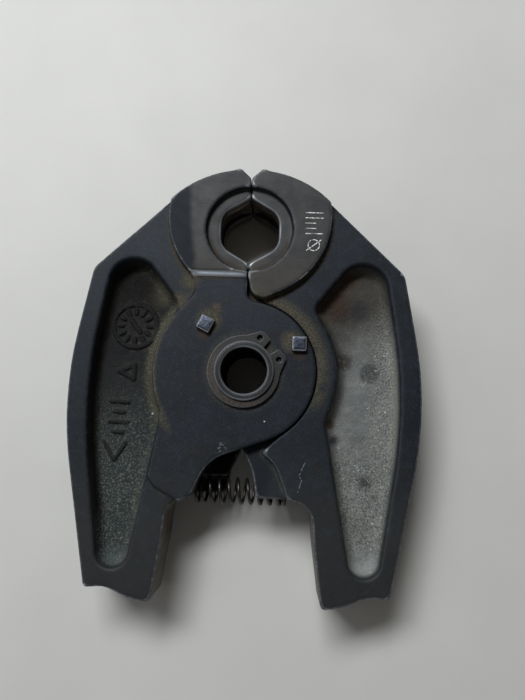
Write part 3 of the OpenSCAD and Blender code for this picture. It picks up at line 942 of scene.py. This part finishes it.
def peg_steel():
    """Bright pegs with worn heads, dark rims and rusty feet."""
    s = Shader("peg_steel")
    fine, pit = s.noise(0.7, 4), s.noise(0.45, 2, shift=30)
    height = s.math("ABSOLUTE", s.z)
    colour = s.mix(s.ramp(fine, 0.3, 0.7), srgb(46, 52, 64), srgb(82, 88, 102))
    colour = s.mix(s.ramp(pit, 0.55, 0.7, 0, 0.6), colour, srgb(36, 38, 46))
    rim = s.times(s.ramp(s.tilt, 0.96, 0.85), s.ramp(s.tilt, 0.3, 0.6))
    colour = s.mix(s.times(rim, 0.8), colour, BRIGHT)
    colour = s.mix(s.ramp(s.tilt, 0.4, 0.2, 0, 0.8), colour, srgb(48, 48, 52))
    rust = s.ramp(s.math("ADD", height, s.times(fine, 0.8)), 10.9, 10.1)
    colour = s.mix(rust, colour, RUST)
    relief = s.math("SUBTRACT", fine, pit)
    return s.finish(colour, s.blend(rust, 0.4, 0.8), s.blend(rust, 0.8, 0.1), relief, 0.05)


right_shape = lever()
levers = [forging("right_forging", "right_lever", "right_jaw", right_shape, np.array([1, 1, 1])),
          forging("left_forging", "left_lever", "left_jaw", right_shape, np.array([-1, 1, -1]))]
pivot = bush()
rings = [retaining_ring("front_circlip", "front_retaining_ring"),
         retaining_ring("rear_circlip", "rear_retaining_ring")]
pegs = [peg(f"{end}_{side}_peg", body, f"{end}_peg_{side}")
        for end, body in (("front", "left_lever"), ("rear", "right_lever"))
        for side in ("left", "right")]
coil = spring()
left_steel, right_steel = forged_steel("left"), forged_steel("right")
for material, pieces in ((right_steel, levers[:1]), (left_steel, levers[1:]),
                         (turned_steel(), [pivot]), (ring_steel(), rings),
                         (spring_steel(), [coil]), (peg_steel(), pegs)):
    for piece in pieces:
        piece.data.materials.clear()
        piece.data.materials.append(material)


# ---------- staging ----------

FLOOR_HALF = 1.5  # half the floor's side, in metres
FLOOR_DULL = (.60, .60, .585, 1)
FLOOR_PALE = (.68, .68, .665, 1)
# Lamps: name, place, width and height in metres, power in watts, colour
LAMPS = (("window", (-0.24, 0.46, 0.66), 0.5, 0.2, 6.6, (0.98, 1.0, 1.0)),
         ("side", (-0.62, 0.05, 0.45), 0.5, 0.4, 0.5, (0.95, 0.98, 1.0)),
         ("room", (-0.1, -0.75, 0.14), 0.9, 0.2, 0.6, (0.80, 0.90, 1.0)))
# The room's light goes from one strength to the other between two heights of the view direction
ROOM_HEIGHTS = (0.05, 0.6)
ROOM_LIGHT = (0.24, 0.05)
ROOM_COLOUR = (1, .90, .78, 1)
CAMERA_AT = (10.51, -19.02, 177.23)
CAMERA_TURN = (8.731, 1.442, 2.098)  # about X, Y and Z, in degrees
CAMERA_LENS = 28.8


def lamp(name, place, width, height, power, colour):
    """A soft rectangular light that faces the object."""
    data = bpy.data.lights.new(name, "AREA")
    data.shape = "RECTANGLE"
    data.size, data.size_y, data.energy, data.color = width, height, power, colour
    light = bpy.data.objects.new(name, data)
    light.location = place
    light.rotation_euler = (-Vector(place)).to_track_quat("-Z", "Y").to_euler()
    bpy.context.scene.collection.objects.link(light)


def pale_floor():
    """A plain pale floor under the object."""
    mesh = bpy.data.meshes.new("floor")
    signs = ((-1, -1), (1, -1), (1, 1), (-1, 1))
    mesh.from_pydata([(x * FLOOR_HALF, y * FLOOR_HALF, cad_low.z) for x, y in signs], [], [(0, 1, 2, 3)])
    floor = bpy.data.objects.new("floor", mesh)
    bpy.context.scene.collection.objects.link(floor)
    paint = Shader("pale_floor")
    mottle = paint.noise(30, 4)
    colour = paint.mix(mottle, FLOOR_DULL, FLOOR_PALE)
    mesh.materials.append(paint.finish(colour, 0.6, 0.0, mottle, 0.0))


def soft_light():
    """A window-like lamp, two weak fills, and a room that is brighter near the horizon."""
    for settings in LAMPS:
        lamp(*settings)
    world = bpy.data.worlds.new("studio")
    world.use_nodes = True
    tree = world.node_tree
    ways = tree.nodes.new("ShaderNodeTexCoord")
    parts = tree.nodes.new("ShaderNodeSeparateXYZ")
    height = tree.nodes.new("ShaderNodeMapRange")
    for socket, number in zip(list(height.inputs)[1:5], ROOM_HEIGHTS + ROOM_LIGHT):
        socket.default_value = number
    tree.links.new(ways.outputs["Generated"], parts.inputs[0])
    tree.links.new(parts.outputs[2], height.inputs[0])
    tree.links.new(height.outputs[0], tree.nodes["Background"].inputs["Strength"])
    tree.nodes["Background"].inputs["Color"].default_value = ROOM_COLOUR
    bpy.context.scene.world = world
    bpy.context.scene.view_settings.view_transform = "Standard"


def aim_camera():
    """The photo's view: down on the front, a little from the legs' side."""
    cam = bpy.data.cameras.new("camera")
    cam.lens = CAMERA_LENS
    camera = bpy.data.objects.new("camera", cam)
    bpy.context.scene.collection.objects.link(camera)
    camera.location = Vector(CAMERA_AT) * MM
    camera.rotation_euler = [math.radians(a) for a in CAMERA_TURN]
    bpy.context.scene.camera = camera


pale_floor()
soft_light()
aim_camera()
